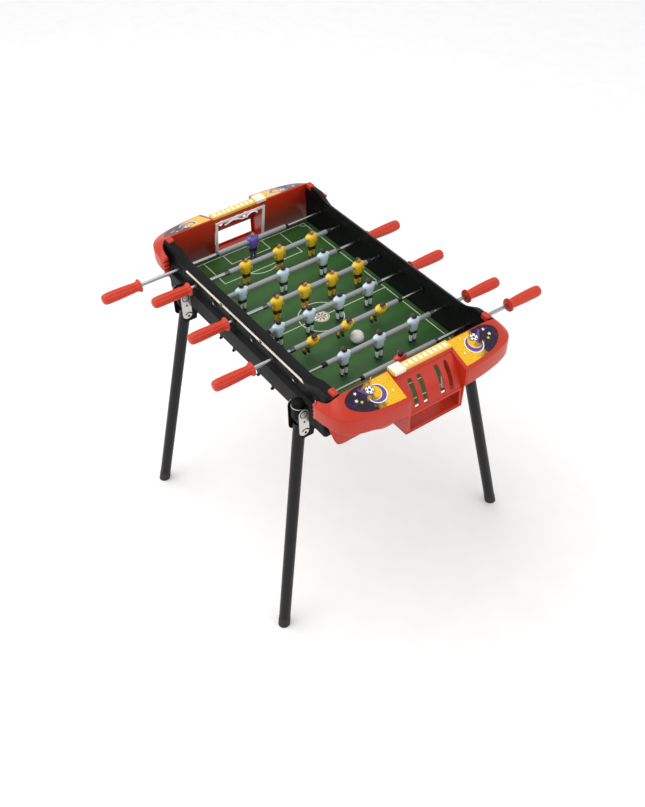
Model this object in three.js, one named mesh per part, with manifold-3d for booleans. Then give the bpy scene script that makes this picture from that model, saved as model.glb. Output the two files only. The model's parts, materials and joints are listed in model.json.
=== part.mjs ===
// Folding table football game: a shallow cabinet on four folding tube legs, eight telescopic
// rods carrying twenty-two players, two moulded end caps with goals, score markers and a ball.
// Millimetres, +Z up. +X runs to one goal, +Y across the pitch. The origin is on the floor
// under the middle of the pitch. The cabinet repeats itself after half a turn about Z.

import * as THREE from 'three';
import { mergeVertices } from 'three/addons/utils/BufferGeometryUtils.js';
import Module from 'manifold-3d';

const wasm = await Module();
wasm.setup();

// Driving dimensions
const rodPitch = 88;
const pitchTop = 653;
const pitchHalfWidth = 220;
const rodHeight = pitchTop + 68;
const wallTop = pitchTop + 100;
const wallEndTop = pitchTop + 129;
const frameBottom = pitchTop - 13;
const gap = 0.4;

const board = { halfLength: 389, thickness: 8, tongue: 3 };

const wall = {
  halfLength: 347, web: 9, rimOuter: 234, rimHeight: 13, railOuter: 241, railTop: pitchTop + 44,
  lip: 5, lipDepth: 20, crest: pitchTop + 115, raisedFrom: 270, rampLength: 60,
};

const cap = {
  panelTopX: 372, panelBottomX: 392, top: pitchTop + 129, ridge: pitchTop + 99, ridgeX: 458,
  fasciaBottom: pitchTop + 53, skirtX: 412, skirtZ: pitchTop + 31, shell: 3.5,
  lobeStart: 332, lobeOuter: 262, lobeBottom: pitchTop + 14, recessHalfWidth: 78, cheek: 4.5,
  trayFront: 446, trayFloor: 4, mouthHalfWidth: 72, lipZ: pitchTop + 40, gridTopZ: pitchTop + 118,
  gridTopX: 398,
};
const slot = { width: 11, length: 78, offsets: [-51, -25, 25, 51] };

const goal = { halfWidth: 78, height: 113, bar: 7, depth: 4 };
const score = { halfLength: 83, x: 381, width: 30, rail: 3, markerLength: 30, markerY: 67 };

const tube = { radius: 5, sleeveRadius: 6.6, bore: 3.7 };
const core = { radius: 3.2, collarRadius: 6.5, collar: 4 };
const grip = { length: 106, flange: 18, neck: 12.5, belly: 15, flangeThickness: 4, bore: 5.4 };
const player = { headTop: 26, sole: 61.4, headRadius: 8, bore: 7.1, arms: 20, depth: 23, legs: 10 };

const leg = {
  radius: 15.5, wall: 1.5, pivotX: 264, pivotY: 251, pivotZ: 620, footX: 324, footY: 365,
  above: 10, pin: 4,
};
const bracket = { inner: 246.5, outer: 286.5, plate: 2.5, outerY: 268, top: pitchTop + 40, bottom: 602 };
const ball = { radius: 17.3, x: 135, y: 12.5 };

// Each rod: its place along X in rod pitches, the side its grip is on (-1 is -Y), the team,
// the players and their spacing, how far it is slid along Y, and how far it is turned.
const lines = [
  { at: -3.5, side: -1, team: 'yellow', players: 1, spacing: 0, shift: -6, sleeve: 106, turn: 0 },
  { at: -2.5, side: -1, team: 'yellow', players: 3, spacing: 104, shift: 21, sleeve: 154, turn: 0 },
  { at: -1.5, side: 1, team: 'blue', players: 3, spacing: 126, shift: -25, sleeve: 168, turn: 0 },
  { at: -0.5, side: -1, team: 'yellow', players: 4, spacing: 84, shift: 23, sleeve: 154, turn: 0 },
  { at: 0.5, side: 1, team: 'blue', players: 4, spacing: 91, shift: -20, sleeve: 162, turn: 0 },
  { at: 1.5, side: -1, team: 'yellow', players: 3, spacing: 102, shift: -16, sleeve: 154, turn: 30 },
  { at: 2.5, side: 1, team: 'blue', players: 3, spacing: 104, shift: 14, sleeve: 154, turn: 0 },
  { at: 3.5, side: 1, team: 'blue', players: 1, spacing: 0, shift: 6, sleeve: 106, turn: 0 },
];
const fieldLine = { flangeAt: 271, boreDepth: 150, coreEnd: 100 };
const keeperLine = { flangeAt: 338, boreDepth: 165, coreEnd: 60 };

const plastic = (colour, roughness) => new THREE.MeshStandardMaterial({ color: colour, roughness });
const metal = (colour, roughness) => (
  new THREE.MeshStandardMaterial({ color: colour, roughness, metalness: 1 })
);
const finish = {
  black: plastic(0x17181a, 0.45), red: plastic(0xd8341f, 0.35), green: plastic(0x2f7a35, 0.6),
  white: plastic(0xeeeeea, 0.4), grey: plastic(0x9a9ca0, 0.4), steel: metal(0xb9bcc0, 0.3),
  legPaint: plastic(0x1b1c1e, 0.4), yellow: plastic(0xe8bf1c, 0.45), blue: plastic(0xbfd9ea, 0.45),
  cream: plastic(0xefe6c4, 0.5),
};

// A three.js geometry as a solid with merged corners and its faces pointing out.
function toSolid(geometry) {
  const loose = geometry.index ? geometry.toNonIndexed() : geometry.clone();
  loose.deleteAttribute('normal');
  loose.deleteAttribute('uv');
  const merged = mergeVertices(loose, 1e-4);
  const points = merged.attributes.position.array;
  const kept = [];
  let volume = 0;
  const a = new THREE.Vector3();
  const b = new THREE.Vector3();
  const c = new THREE.Vector3();
  for (let i = 0; i < merged.index.count; i += 3) {
    const [p, q, r] = [0, 1, 2].map((k) => merged.index.getX(i + k));
    if (p !== q && q !== r && r !== p) {
      kept.push(p, q, r);
      a.fromArray(points, p * 3);
      b.fromArray(points, q * 3);
      c.fromArray(points, r * 3);
      volume += a.dot(b.cross(c));
    }
  }
  if (volume < 0) {
    kept.reverse();
  }
  return new wasm.Manifold(new wasm.Mesh({
    numProp: 3, vertProperties: Float32Array.from(points), triVerts: Uint32Array.from(kept),
  }));
}

function toMesh(name, solid, material) {
  const { vertProperties, triVerts } = solid.getMesh();
  const geometry = new THREE.BufferGeometry();
  geometry.setAttribute('position', new THREE.BufferAttribute(vertProperties, 3));
  geometry.setIndex(new THREE.BufferAttribute(triVerts, 1));
  geometry.computeVertexNormals();
  const mesh = new THREE.Mesh(geometry, material);
  mesh.name = name;
  return mesh;
}

const union = (solids) => solids.reduce((sum, next) => sum.add(next));
const shapeOf = (points) => new THREE.Shape(points.map(([u, v]) => new THREE.Vector2(u, v)));

// Prisms: an outline in the plane across an axis, from one place on that axis to another.
function prism(points, from, to) {
  return new THREE.ExtrudeGeometry(shapeOf(points), { depth: to - from, bevelEnabled: false });
}

function prismX(points, from, to) {
  const turn = new THREE.Matrix4().set(0, 0, 1, from, 1, 0, 0, 0, 0, 1, 0, 0, 0, 0, 0, 1);
  return toSolid(prism(points, from, to).applyMatrix4(turn));
}

function prismY(points, from, to) {
  return toSolid(prism(points, from, to).rotateX(Math.PI / 2).translate(0, to, 0));
}

function prismZ(points, from, to) {
  return toSolid(prism(points, from, to).translate(0, 0, from));
}

function block([x0, y0, z0], [x1, y1, z1]) {
  const box = new THREE.BoxGeometry(x1 - x0, y1 - y0, z1 - z0);
  return toSolid(box.translate((x0 + x1) / 2, (y0 + y1) / 2, (z0 + z1) / 2));
}

// A turned piece about the Y axis, from points of radius and place along Y.
function turned(profile, segments) {
  return new THREE.LatheGeometry(profile.map(([r, u]) => new THREE.Vector2(r, u)), segments);
}

// Where the cap's sloping inner face is, at a height
const panelXAt = (z) => cap.panelTopX
  + ((cap.panelBottomX - cap.panelTopX) * (cap.top - z)) / (cap.top - frameBottom);

// Pitch board, held by its long edges in a groove of each wall; extra makes the room for it
function pitchBoard(extra) {
  const { halfLength, thickness, tongue } = board;
  const corner = [halfLength + extra, pitchHalfWidth + tongue + extra];
  return block([-corner[0], -corner[1], pitchTop - thickness - extra], [...corner, pitchTop + extra]);
}

// Side wall on the -Y side, with its rod bores and its two leg brackets
function legBracket(x) {
  const { inner, outer, plate, outerY, top, bottom } = bracket;
  const profile = [
    [-outerY, bottom], [-226, bottom], [-226, bottom + 16], [-192, bottom + 16],
    [-192, frameBottom + 3], [-229, frameBottom + 3], [-229, top], [-256, top], [-outerY, top - 14],
  ];
  const side = Math.sign(x);
  const places = [inner - plate, inner, outer, outer + plate].map((v) => v * side).sort((a, b) => a - b);
  const plates = [prismX(profile, places[0], places[1]), prismX(profile, places[2], places[3])];
  const housing = block([places[0], -outerY + 3, frameBottom], [places[3], -235, top - 12]);
  const pin = new THREE.CylinderGeometry(leg.pin, leg.pin, outer - inner + 2 * plate, 8);
  pin.rotateZ(Math.PI / 2).translate((places[0] + places[3]) / 2, -leg.pivotY, leg.pivotZ);
  return union([...plates, housing, toSolid(pin)]);
}

function rodBore(line, wallSide) {
  const radius = line.side === wallSide ? tube.radius + 0.9 : core.radius + 0.8;
  const hole = new THREE.CylinderGeometry(radius, radius, 60, 12);
  return toSolid(hole.translate(line.at * rodPitch, wallSide * 235, rodHeight));
}

function sideWall() {
  const { halfLength, web, rimOuter, rimHeight, railOuter, railTop, lip, lipDepth, crest } = wall;
  const inner = -pitchHalfWidth;
  const outline = [
    [inner, wallTop - lipDepth], [inner + lip, wallTop - lipDepth + 8], [inner + lip, crest],
    [-rimOuter + 1, wallTop], [-rimOuter, wallTop - 2], [-rimOuter, wallTop - rimHeight],
    [inner - web, wallTop - rimHeight - 3], [inner - web, railTop + 3], [-railOuter + 2, railTop],
    [-railOuter, railTop - 3], [-railOuter, frameBottom + 8], [-railOuter + 6, frameBottom],
    [inner, frameBottom],
  ];
  const body = [prismX(outline, -halfLength, halfLength)];
  for (const side of [-1, 1]) {
    const rampEnd = wall.raisedFrom + wall.rampLength;
    const endX = (z) => side * (panelXAt(z) - gap);
    const plate = [
      [side * rampEnd, wallTop - 4], [side * rampEnd, wallEndTop], [endX(wallEndTop), wallEndTop],
      [endX(frameBottom), frameBottom], [side * (halfLength - 2), frameBottom],
      [side * (halfLength - 2), wallTop - 4],
    ];
    const raisedRim = [
      [side * wall.raisedFrom, wallTop - 4], [side * wall.raisedFrom, wallTop],
      [side * rampEnd, wallEndTop], [endX(wallEndTop), wallEndTop], [endX(wallTop - 4), wallTop - 4],
    ];
    body.push(prismY(plate, inner - web, inner), prismY(raisedRim, -rimOuter, inner + lip));
    body.push(legBracket(side * leg.pivotX));
  }
  return lines.reduce((sum, line) => sum.subtract(rodBore(line, -1)), union(body))
    .subtract(pitchBoard(gap));
}

// End cap on the +X end: a thin shell, open underneath, with the goal recess in its middle
function capShoulder(inset) {
  const { top, ridge, ridgeX, fasciaBottom, skirtX, skirtZ } = cap;
  const bottom = inset ? frameBottom - 20 : frameBottom;
  const side = [
    [panelXAt(bottom) + inset, bottom], [panelXAt(top) + inset, top - inset],
    [ridgeX - inset, ridge - inset], [ridgeX - inset, fasciaBottom + inset / 2],
    [skirtX - inset, skirtZ + inset / 2], [skirtX - 10 - inset, bottom],
  ];
  const start = inset ? cap.panelBottomX - 25 : cap.panelTopX - 5;
  const plan = [
    [start, 0], [ridgeX - inset, 0], [ridgeX - inset, 60], [448 - inset, 150],
    [430 - inset, 232 - inset], [410 - inset, 247 - inset], [start, cap.lobeOuter - 4 - inset],
  ];
  return prismY(side, -1, cap.lobeOuter + 5).intersect(prismZ(plan, frameBottom - 30, top + 10));
}

function capLobe() {
  const { lobeStart, lobeOuter, lobeBottom, ridge, panelBottomX } = cap;
  const face = [
    [lobeStart, lobeBottom + 8], [lobeStart + 8, lobeBottom], [panelBottomX + 8, lobeBottom - 12],
    [panelBottomX + 8, ridge], [lobeStart + 4, ridge], [lobeStart, ridge - 8],
  ];
  const plan = [
    [lobeStart - 1, wall.railOuter + gap], [panelBottomX + 8, wall.railOuter + gap - 3],
    [panelBottomX + 8, 250], [350, lobeOuter], [lobeStart - 1, lobeOuter - 6],
  ];
  return prismY(face, 0, lobeOuter + 2).intersect(prismZ(plan, frameBottom, ridge + 1));
}

function capSide() {
  const { recessHalfWidth, cheek, shell, railOuter } = { ...cap, ...wall };
  const wallEnd = block([300, 0, frameBottom - 30], [wall.halfLength + gap, railOuter + gap, 800]);
  const webEnd = prismY([
    [300, frameBottom - 1], [panelXAt(frameBottom), frameBottom - 1],
    [panelXAt(cap.top), cap.top + 1], [300, cap.top + 1],
  ], 0, pitchHalfWidth + wall.web + gap);
  const hollow = capShoulder(shell).subtract(block([300, -2, 0], [500, recessHalfWidth + cheek, 900]));
  const lobeRoom = block([300, 232, 600], [panelXAt(cap.ridge) + shell, railOuter + gap, 800]);
  const skin = union([capShoulder(0), capLobe()]).subtract(hollow);
  return skin.subtract(union([wallEnd, webEnd, lobeRoom]))
    .subtract(block([300, -2, 0], [500, recessHalfWidth, 900]));
}

function goalGrid() {
  const { gridTopX, gridTopZ, trayFront, lipZ, recessHalfWidth, shell, top } = cap;
  const run = Math.hypot(trayFront - gridTopX, gridTopZ - lipZ);
  const across = [((gridTopZ - lipZ) / run) * shell, ((trayFront - gridTopX) / run) * shell];
  const slab = [
    [gridTopX, gridTopZ], [trayFront, lipZ], [trayFront - across[0], lipZ - across[1]],
    [gridTopX - across[0], gridTopZ - across[1]],
  ];
  const width = recessHalfWidth + 1;
  const beam = block([panelXAt(gridTopZ) + 2, -width, gridTopZ - 5], [gridTopX, width, top - 4]);
  const middle = [(gridTopX + trayFront) / 2 - across[0] / 2, (gridTopZ + lipZ) / 2];
  const slots = slot.offsets.map((y) => {
    const cutter = new THREE.BoxGeometry(slot.length, slot.width, 20);
    cutter.rotateY(Math.atan2(gridTopZ - lipZ, trayFront - gridTopX));
    return toSolid(cutter.translate(middle[0], y, middle[1]));
  });
  return union([prismY(slab, -width, width), beam]).subtract(union(slots));
}

function ballTray() {
  const { trayFront, recessHalfWidth, cheek, trayFloor, mouthHalfWidth, lipZ, shell, ridge } = cap;
  const outer = recessHalfWidth + cheek;
  const floor = block([panelXAt(frameBottom) - 2, -outer, frameBottom - trayFloor],
    [trayFront, outer, frameBottom]);
  const cheekFace = [
    [panelXAt(frameBottom), frameBottom - trayFloor], [trayFront, frameBottom - trayFloor],
    [trayFront + 2, ridge + 4], [panelXAt(cap.top), cap.top],
  ];
  const cheeks = [[-outer, -recessHalfWidth], [recessHalfWidth, outer]]
    .map(([from, to]) => prismY(cheekFace, from, to));
  const jambs = [[-recessHalfWidth - 1, -mouthHalfWidth], [mouthHalfWidth, recessHalfWidth + 1]]
    .map(([from, to]) => block([trayFront - shell, from, frameBottom - 1], [trayFront, to, lipZ]));
  return union([floor, ...cheeks, ...jambs]);
}

function scoreRail() {
  const { halfLength, x, width, rail } = score;
  return block([x - width / 2 + 6, -halfLength, cap.top - 6], [x + width / 2, halfLength, cap.top + rail]);
}

function mirrorY(solid) {
  const { vertProperties, triVerts } = solid.getMesh();
  const flipped = vertProperties.map((v, i) => (i % 3 === 1 ? -v : v));
  return new wasm.Manifold(new wasm.Mesh({
    numProp: 3, vertProperties: flipped, triVerts: triVerts.slice().reverse(),
  }));
}

function endCap() {
  const side = capSide();
  const solid = union([side, mirrorY(side), goalGrid(), ballTray(), scoreRail()]);
  return solid.subtract(pitchBoard(gap));
}

// White goal frame, lying against the sloping inner face of the cap
function goalFrame() {
  const { halfWidth, height, bar, depth } = goal;
  const low = pitchTop + gap;
  const high = pitchTop + height;
  const near = (z) => panelXAt(z) - gap;
  const slab = [
    [near(low), low], [near(high), high], [near(high) - depth, high], [near(low) - depth, low],
  ];
  const outer = prismY(slab, -halfWidth, halfWidth);
  return outer.subtract(block([300, -halfWidth + bar, 0], [500, halfWidth - bar, high - bar]));
}

function scoreMarker() {
  const { x, width, rail, markerLength, markerY } = score;
  const top = cap.top + rail + gap;
  const left = x - width / 2 + 6 - gap;
  const right = x + width / 2 + gap;
  const saddle = [
    [left - 3, cap.top - 3], [left, cap.top - 3], [left, top], [right, top],
    [right, cap.top - 3], [right + 3, cap.top - 3], [right + 3, top + 4], [left - 3, top + 4],
  ];
  return prismY(saddle, -markerY - markerLength / 2, -markerY + markerLength / 2);
}

// Folding leg: a hollow tube with a bored head, cut level at the floor
function foldingLeg(side) {
  const { radius, above, pivotX, pivotY, pivotZ, footX, footY, pin } = leg;
  const foot = new THREE.Vector3(footX, side * footY, 0);
  const pivot = new THREE.Vector3(pivotX, side * pivotY, pivotZ);
  const direction = foot.clone().sub(pivot).normalize();
  const past = 20;
  const plug = past + 8;
  const length = foot.distanceTo(pivot) + past;
  const inner = radius - leg.wall;
  const profile = [
    [0, plug], [inner, plug], [inner, length + above], [radius, length + above], [radius, 0], [0, 0],
  ];
  const place = new THREE.Matrix4().makeRotationFromQuaternion(
    new THREE.Quaternion().setFromUnitVectors(new THREE.Vector3(0, -1, 0), direction),
  );
  place.setPosition(pivot.clone().addScaledVector(direction, length));
  const body = toSolid(turned(profile, 14).applyMatrix4(place));
  const hole = new THREE.CylinderGeometry(pin + 0.6, pin + 0.6, 60, 8);
  hole.rotateZ(Math.PI / 2).translate(pivotX, side * pivotY, pivotZ);
  const under = block([footX - 60, side * footY - 60, -80], [footX + 60, side * footY + 60, 0]);
  return body.subtract(toSolid(hole)).subtract(under);
}

// Rod pieces, made about the Y axis with the grip at -Y
function slidingTube(kind, sleeve) {
  const end = -(kind.flangeAt + grip.length - 8);
  const profile = [
    [0, end], [tube.radius, end], [tube.radius, -sleeve], [tube.sleeveRadius, -sleeve],
    [tube.sleeveRadius, sleeve], [tube.bore, sleeve], [tube.bore, -kind.boreDepth],
    [0, -kind.boreDepth],
  ];
  return turned(profile, 12);
}

function innerCore(kind) {
  const inside = pitchHalfWidth - gap;
  const outside = pitchHalfWidth + wall.web + gap;
  const { radius, collarRadius, collar } = core;
  const profile = [
    [0, -kind.coreEnd], [radius, -kind.coreEnd], [radius, inside - collar],
    [collarRadius, inside - collar], [collarRadius, inside], [radius, inside], [radius, outside],
    [collarRadius, outside], [collarRadius, outside + collar], [0, outside + collar],
  ];
  return turned(profile, 12);
}

function handGrip(kind) {
  const from = -kind.flangeAt;
  const { length, flange, neck, belly, flangeThickness, bore } = grip;
  const profile = [
    [bore, from], [flange, from], [flange, from - flangeThickness], [neck, from - 11],
    [belly - 1, from - 30], [belly, from - length + 14], [belly - 3, from - length + 3],
    [belly - 8, from - length], [0, from - length], [0, from - length + 6], [bore, from - length + 6],
  ];
  return turned([...profile, profile[0]], 12);
}

// One player, about the rod's axis, facing +X
function figure() {
  const { arms, depth, legs, bore, sole, headTop, headRadius } = player;
  const torso = [
    [-12.5, -25], [12.5, -25], [12.5, -9], [arms, -8], [arms, 6], [12, 12], [4, 13], [-4, 13],
    [-12, 12], [-arms, 6], [-arms, -8], [-12.5, -9],
  ];
  const head = new THREE.SphereGeometry(headRadius, 7, 5).rotateX(Math.PI / 2);
  head.translate(0, 0, headTop - headRadius);
  const hole = new THREE.CylinderGeometry(bore, bore, 2 * arms + 4, 12);
  const solid = union([
    prismX(torso, -depth / 2, depth / 2), toSolid(head),
    block([-6, -legs, -sole + 2], [6, legs, -24]), block([-8, -legs, -sole], [12, legs, -sole + 8]),
  ]);
  return solid.subtract(toSolid(hole));
}

const table = new THREE.Group();
table.add(toMesh('pitch_board', pitchBoard(0), finish.green));

const wallSolid = sideWall();
const capSolid = endCap();
const frameSolid = goalFrame();
const markerSolid = scoreMarker();
const legSolids = { left: foldingLeg(-1), right: foldingLeg(1) };

// Everything that comes twice: once as made, once after half a turn about Z
const halves = [
  { end: 'near', wallName: 'side_wall_left', legs: ['left', 'right'], turn: 0 },
  { end: 'far', wallName: 'side_wall_right', legs: ['right', 'left'], turn: Math.PI },
];
for (const { end, wallName, legs, turn } of halves) {
  const half = new THREE.Group();
  half.rotation.z = turn;
  half.add(toMesh(wallName, wallSolid, finish.black));
  half.add(toMesh(`end_cap_${end}`, capSolid, finish.red));
  half.add(toMesh(`goal_frame_${end}`, frameSolid, finish.white));
  half.add(toMesh(`score_marker_${end}`, markerSolid, finish.cream));
  half.add(toMesh(`leg_${end}_${legs[0]}`, legSolids.left, finish.legPaint));
  half.add(toMesh(`leg_${end}_${legs[1]}`, legSolids.right, finish.legPaint));
  table.add(half);
}

const figureSolid = figure();
lines.forEach((line, index) => {
  const number = index + 1;
  const kind = line.players === 1 ? keeperLine : fieldLine;
  const rod = new THREE.Group();
  rod.position.set(line.at * rodPitch, line.shift, rodHeight);
  const shafts = new THREE.Group();
  shafts.rotation.z = line.side < 0 ? 0 : Math.PI;
  shafts.add(toMesh(`rod_${number}_tube`, toSolid(slidingTube(kind, line.sleeve)), finish.grey));
  shafts.add(toMesh(`rod_${number}_grip`, toSolid(handGrip(kind)), finish.red));
  rod.add(shafts);

  const fixedCore = toMesh(`rod_${number}_core`, toSolid(innerCore(kind)), finish.steel);
  fixedCore.position.set(line.at * rodPitch, 0, rodHeight);
  fixedCore.rotation.z = shafts.rotation.z;
  table.add(fixedCore);

  for (let k = 0; k < line.players; k += 1) {
    const man = toMesh(`rod_${number}_player_${k + 1}`, figureSolid, finish[line.team]);
    man.position.y = (k - (line.players - 1) / 2) * line.spacing;
    man.rotation.z = line.team === 'yellow' ? 0 : Math.PI;
    const tilt = new THREE.Group();
    tilt.rotation.y = THREE.MathUtils.degToRad(line.turn);
    tilt.add(man);
    rod.add(tilt);
  }
  table.add(rod);
});

const sphere = new THREE.SphereGeometry(ball.radius, 12, 8).rotateX(Math.PI / 2);
const gameBall = toMesh('ball', toSolid(sphere), finish.white);
gameBall.position.set(ball.x, ball.y, pitchTop + ball.radius + 0.1);
table.add(gameBall);

export default table;
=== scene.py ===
import json
import math

import bmesh
import bpy
from mathutils import Matrix, Vector


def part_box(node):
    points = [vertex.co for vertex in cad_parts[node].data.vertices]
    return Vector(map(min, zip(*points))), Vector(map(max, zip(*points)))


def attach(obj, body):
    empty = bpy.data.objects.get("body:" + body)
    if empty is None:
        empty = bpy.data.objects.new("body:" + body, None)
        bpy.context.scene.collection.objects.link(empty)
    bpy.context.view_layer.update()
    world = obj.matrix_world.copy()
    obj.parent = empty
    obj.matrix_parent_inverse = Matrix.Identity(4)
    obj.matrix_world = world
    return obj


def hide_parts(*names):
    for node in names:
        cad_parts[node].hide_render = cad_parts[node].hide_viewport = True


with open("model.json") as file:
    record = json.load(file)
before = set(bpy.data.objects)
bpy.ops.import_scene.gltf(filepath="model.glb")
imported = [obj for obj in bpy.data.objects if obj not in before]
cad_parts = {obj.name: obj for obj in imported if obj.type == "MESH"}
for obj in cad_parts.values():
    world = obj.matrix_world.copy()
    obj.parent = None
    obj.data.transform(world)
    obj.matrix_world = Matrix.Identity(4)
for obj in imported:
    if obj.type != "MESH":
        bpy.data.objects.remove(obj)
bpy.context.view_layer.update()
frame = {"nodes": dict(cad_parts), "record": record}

mm = 0.001
print("stage: frame loaded")


def nodeBox(node):
    low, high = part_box(node)
    return Vector(low) / mm, Vector(high) / mm


boardHigh = nodeBox("pitch_board")[1]
markerLow, markerHigh = nodeBox("score_marker_near")
ballLow, ballHigh = nodeBox("ball")

jointNamed = {joint["name"]: joint for joint in frame["record"]["behaviour"]["joints"]}
pitchTop = boardHigh.z
pitchHalf = boardHigh.y + 0.4
capTop = pitchTop + 129
wallTop = pitchTop + 100
frameBottom = pitchTop - 13
halfTurn = math.pi


def rodFacts(number):
    joint = jointNamed[f"rod_{number}_slide"]
    coreLow, coreHigh = nodeBox(f"rod_{number}_core")
    tubeLow, tubeHigh = nodeBox(f"rod_{number}_tube")
    gripLow, gripHigh = nodeBox(f"rod_{number}_grip")
    side = -1 if gripLow.y < -pitchHalf else 1
    shift = -sum(joint["range_m"]) / 2 / mm
    men = [o for o in frame["nodes"] if o.startswith(f"rod_{number}_player_")]
    return {
        "number": number, "side": side, "shift": shift, "axis": (coreLow + coreHigh) / 2,
        "sleeve": abs((tubeHigh.y if side < 0 else tubeLow.y) - shift),
        "flange": gripHigh.y if side < 0 else gripLow.y,
        "coreFree": coreLow.y if side < 0 else coreHigh.y,
        "places": sorted((sum(v.y for v in nodeBox(m)) / 2, m) for m in men),
        "team": f"rod_{number}_team", "core": f"rod_{number}_core",
    }


rods = [rodFacts(number) for number in range(1, 9)]


camera = {
    "place": (1.6635, -1.1496, 2.2641), "turn": 55.408, "down": 43.455, "roll": -1.314,
    "lens": 45.17, "sensor": 36, "reach": 50,
}
studio = {
    "keyPlace": (-0.9, -1.2, 3.4), "keyAim": (0.1, 0, 0.5), "keySize": 3.2, "keyPower": 56,
    "fillPlace": (2.6, 1.2, 2.2), "fillAim": (0, 0, 0.6), "fillSize": 2.4, "fillPower": 12,
    "sky": 0.9, "floorTone": 0.98, "floorHalf": 9000, "look": "Standard",
}


def placeCamera():
    data = bpy.data.cameras.new("camera")
    data.lens = camera["lens"]
    data.sensor_width = camera["sensor"]
    data.clip_end = camera["reach"]
    view = bpy.data.objects.new("camera", data)
    bpy.context.scene.collection.objects.link(view)
    a, e, r = (math.radians(camera[k]) for k in ("turn", "down", "roll"))
    back = Vector((math.sin(a) * math.cos(e), -math.cos(a) * math.cos(e), math.sin(e)))
    right = (-back).cross(Vector((0, 0, 1))).normalized()
    up = right.cross(-back)
    right, up = right * math.cos(r) + up * math.sin(r), up * math.cos(r) - right * math.sin(r)
    turn = Matrix((right, up, back)).transposed().to_4x4()
    view.matrix_world = Matrix.Translation(camera["place"]) @ turn
    bpy.context.scene.camera = view


def areaLight(name):
    data = bpy.data.lights.new(name, "AREA")
    data.size = studio[name + "Size"]
    data.energy = studio[name + "Power"]
    lamp = bpy.data.objects.new(name, data)
    place, aim = (Vector(studio[name + part]) for part in ("Place", "Aim"))
    lamp.location = place
    lamp.rotation_euler = (aim - place).to_track_quat("-Z", "Y").to_euler()
    bpy.context.scene.collection.objects.link(lamp)


def buildStudio():
    world = bpy.data.worlds.new("sky")
    bpy.context.scene.world = world
    bpy.context.scene.view_settings.view_transform = studio["look"]
    world.use_nodes = True
    sky = world.node_tree.nodes["Background"]
    sky.inputs["Color"].default_value = (1, 1, 1, 1)
    sky.inputs["Strength"].default_value = studio["sky"]
    areaLight("key")
    areaLight("fill")
    tone = surface("floor", (studio["floorTone"],) * 3, 0.7, bump=0)
    floor = makePiece("floor", *flatSquare(studio["floorHalf"]), [tone])


class Graph:    # the node tree of one material
    def __init__(self, material):
        material.use_nodes = True
        self.nodes, self.links = material.node_tree.nodes, material.node_tree.links
        self.shader = self.nodes["Principled BSDF"]
        self.where = self.add("TexCoord").outputs["Object"]

    def feed(self, socket, value):
        if isinstance(value, bpy.types.NodeSocket):
            self.links.new(value, socket)
        else:
            socket.default_value = value

    def add(self, kind, inputs=None, **settings):
        node = self.nodes.new("ShaderNode" + kind)
        for key, value in settings.items():
            setattr(node, key, value)
        for key, value in (inputs or {}).items():
            self.feed(node.inputs[key], value)
        return node

    def mix(self, share, first, second):
        return self.add("Mix", {0: share, 6: first, 7: second}, data_type="RGBA").outputs[2]

    def ramp(self, value, start, end, low=0.0, high=1.0):
        limits = {"From Min": start, "From Max": end, "To Min": low, "To Max": high}
        return self.add("MapRange", {"Value": value, **limits}).outputs["Result"]

    def noise(self, scale, detail, where=None):
        where = self.where if where is None else where
        return self.add("TexNoise", {"Scale": scale, "Detail": detail, "Vector": where}).outputs["Fac"]

    def compute(self, operation, *values):
        return self.add("Math", dict(enumerate(values)), operation=operation).outputs[0]

    def along(self, axis, where=None):
        return self.add("SeparateXYZ", {0: self.where if where is None else where}).outputs[axis]

    def painted(self):
        return self.shader.inputs["Base Color"].links[0].from_socket

    def paint(self, colour):
        self.feed(self.shader.inputs["Base Color"], colour)


def scaled(tone, share, lift=0.0):
    return (*[min(1, c * share + lift) for c in tone], 1)


def surface(name, tone, rough, grain=900, bump=0.12, drift=0.06, metal=0.0, coat=0.0, wear=0.0,
            shine=0.5):
    material = bpy.data.materials.new(name)
    graph = Graph(material)
    inputs = graph.shader.inputs
    inputs["Metallic"].default_value = metal
    inputs["Coat Weight"].default_value = coat
    inputs["Coat Roughness"].default_value = 0.12
    inputs["Specular IOR Level"].default_value = shine
    broad = graph.noise(14, 4)                    # slow change of tone over the moulding
    colour = graph.mix(broad, scaled(tone, 1 - drift), scaled(tone, 1 + drift))
    if wear:                                      # rubbed, paler edges
        edge = graph.add("NewGeometry").outputs["Pointiness"]
        colour = graph.mix(graph.ramp(edge, 0.53, 0.62, 0, wear), colour, scaled(tone, 1.8, 0.06))
    graph.paint(colour)
    graph.feed(inputs["Roughness"], graph.ramp(broad, 0, 1, max(0.02, rough - 0.06), rough + 0.08))
    if bump:                                      # moulded grain
        relief = graph.add("Bump", {"Strength": bump, "Distance": 0.0004, "Height": graph.noise(grain, 3)})
        graph.feed(inputs["Normal"], relief.outputs["Normal"])
    return material


def makePiece(name, points, faces, materials, indices=None, smooth=True, angle=32):
    mesh = bpy.data.meshes.new(name)
    mesh.from_pydata([Vector(p) * mm for p in points], [], faces)
    for material in materials:
        mesh.materials.append(material)
    if indices:
        mesh.polygons.foreach_set("material_index", indices)
    tidyMesh(mesh)
    if smooth:
        mesh.polygons.foreach_set("use_smooth", [True] * len(mesh.polygons))
        mesh.set_sharp_from_angle(angle=math.radians(angle))
    mesh.update()
    piece = bpy.data.objects.new(name, mesh)
    bpy.context.scene.collection.objects.link(piece)
    return piece


def tidyMesh(mesh):
    work = bmesh.new()
    work.from_mesh(mesh)
    bmesh.ops.remove_doubles(work, verts=work.verts, dist=1e-6)
    bmesh.ops.recalc_face_normals(work, faces=work.faces)
    work.to_mesh(mesh)
    work.free()


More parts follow.
